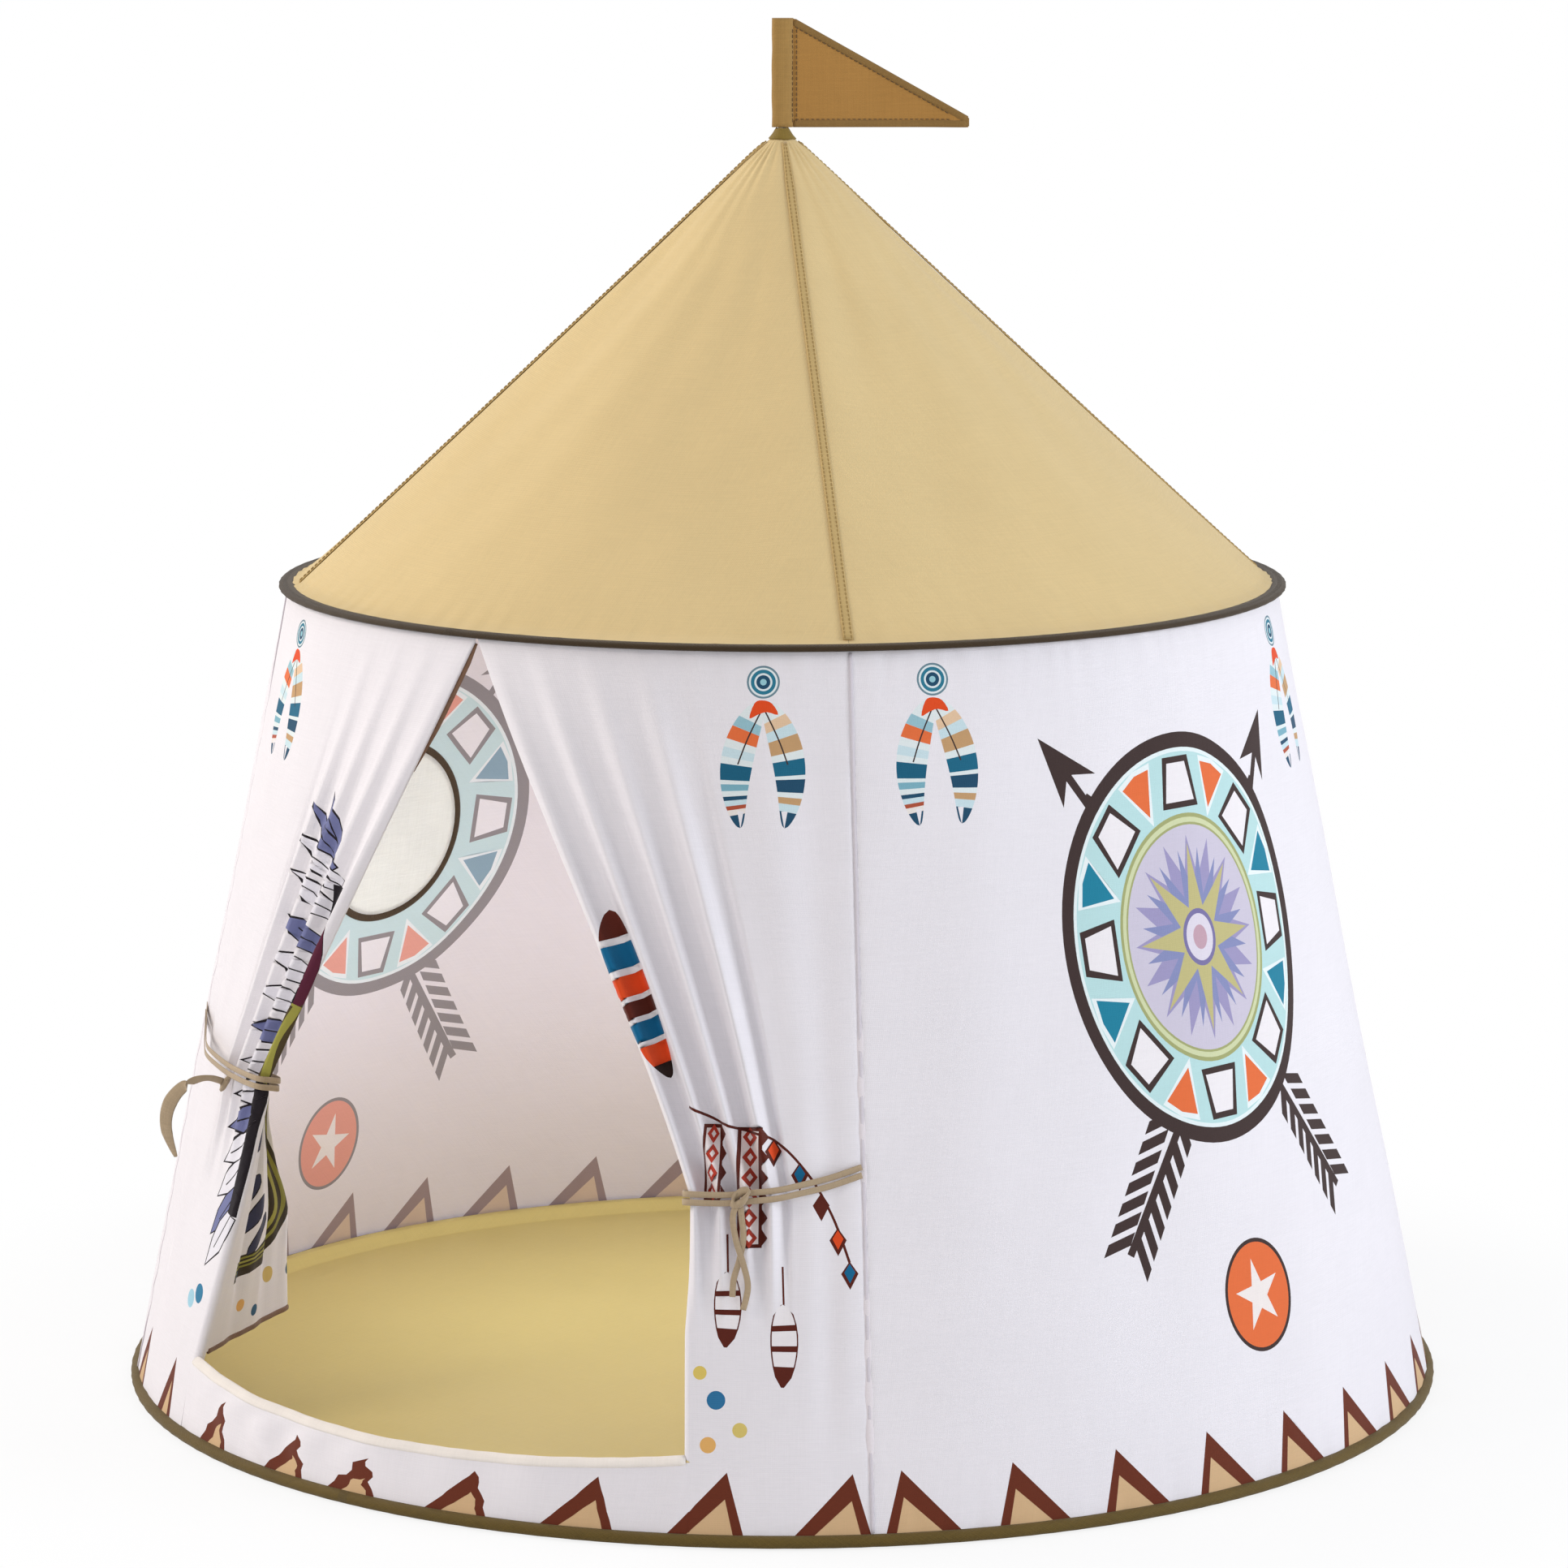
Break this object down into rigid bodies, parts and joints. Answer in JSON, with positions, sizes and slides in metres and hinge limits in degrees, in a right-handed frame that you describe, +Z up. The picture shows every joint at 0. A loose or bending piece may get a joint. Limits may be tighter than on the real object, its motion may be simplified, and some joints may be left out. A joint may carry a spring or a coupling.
{
  "type": "kids teepee",
  "caption": "Round play tent with a leaning printed cloth wall, a conical roof, a tied-back door, a round window, a sewn-in floor and a pennant.",
  "frame": {"origin": "on the ground under the apex, at the middle of the floor", "axes": "+Z up, the door faces -Y, the window is in the -X wall"},
  "size_m": [1.16, 1.16, 1.19],
  "materials": {
    "wall_cloth": "plain-woven white polyester cotton, printed",
    "roof_cloth": "plain-woven sand-coloured cloth",
    "floor_cloth": "coated woven sheet, straw-coloured",
    "base_tape": "olive-brown woven tape",
    "eave_tape": "dark brown woven tape",
    "window_tape": "brown woven tape",
    "window_net": "pale fine net",
    "flag_cloth": "plain-woven tan cloth",
    "tie_ribbon": "narrow beige ribbon",
    "spring_wire": "drawn spring wire",
    "crimped_metal": "plated crimped tube",
    "glass_fibre": "pultruded glass-fibre rod",
    "moulded_plastic": "injection-moulded nylon"
  },
  "bodies": {
    "tent": {"floor_sheet": "floor_cloth", "base_binding": "base_tape", "eave_binding": "eave_tape", "base_hoop": "spring_wire", "base_hoop_ferrule": "crimped_metal", "eave_hoop": "spring_wire", "eave_hoop_ferrule": "crimped_metal", "roof_gore_front": "roof_cloth", "roof_gore_right": "roof_cloth", "roof_gore_back": "roof_cloth", "roof_gore_left": "roof_cloth", "right_wall": "wall_cloth", "back_wall": "wall_cloth", "left_wall": "wall_cloth", "window_binding": "window_tape", "window_screen": "window_net", "pole_foot_front_right": "moulded_plastic", "pole_foot_back_right": "moulded_plastic", "pole_foot_back_left": "moulded_plastic", "pole_foot_front_left": "moulded_plastic", "lower_wall_pole_front_right": "glass_fibre", "lower_wall_pole_back_right": "glass_fibre", "lower_wall_pole_back_left": "glass_fibre", "lower_wall_pole_front_left": "glass_fibre", "upper_wall_pole_front_right": "glass_fibre", "upper_wall_pole_back_right": "glass_fibre", "upper_wall_pole_back_left": "glass_fibre", "upper_wall_pole_front_left": "glass_fibre", "wall_pole_ferrule_front_right": "crimped_metal", "wall_pole_ferrule_back_right": "crimped_metal", "wall_pole_ferrule_back_left": "crimped_metal", "wall_pole_ferrule_front_left": "crimped_metal", "wall_sleeve_front_right": "wall_cloth", "wall_sleeve_back_right": "wall_cloth", "wall_sleeve_back_left": "wall_cloth", "wall_sleeve_front_left": "wall_cloth", "eave_elbow_front_right": "moulded_plastic", "eave_elbow_back_right": "moulded_plastic", "eave_elbow_back_left": "moulded_plastic", "eave_elbow_front_left": "moulded_plastic", "roof_pole_front_right": "glass_fibre", "roof_pole_back_right": "glass_fibre", "roof_pole_back_left": "glass_fibre", "roof_pole_front_left": "glass_fibre", "roof_sleeve_front_right": "roof_cloth", "roof_sleeve_back_right": "roof_cloth", "roof_sleeve_back_left": "roof_cloth", "roof_sleeve_front_left": "roof_cloth", "apex_hub": "moulded_plastic", "flag_mast": "glass_fibre", "left_door_panel": "wall_cloth", "left_tie": "tie_ribbon", "right_door_panel": "wall_cloth", "right_tie": "tie_ribbon", "door_sill": "wall_cloth"},
    "flag": {"flag": "flag_cloth"},
    "left_tail": {"left_door_tail": "wall_cloth"},
    "right_tail": {"right_door_tail": "wall_cloth"}
  },
  "joints": [
    {"name": "flag_swivel", "type": "hinge", "parent": "tent", "child": "flag", "pos_m": [0, 0, 1.0965], "axis": [0, 0, 1], "continuous": true},
    {"name": "left_tail_swing", "type": "hinge", "parent": "tent", "child": "left_tail", "pos_m": [-0.24098, -0.50749, 0.066], "axis": [0.255, 0.1071, 0.961], "range_deg": [-120, 4]},
    {"name": "right_tail_swing", "type": "hinge", "parent": "tent", "child": "right_tail", "pos_m": [0.28344, -0.48505, 0.066], "axis": [-0.124, 0.1609, 0.9792], "range_deg": [-10, 115]}
  ]
}
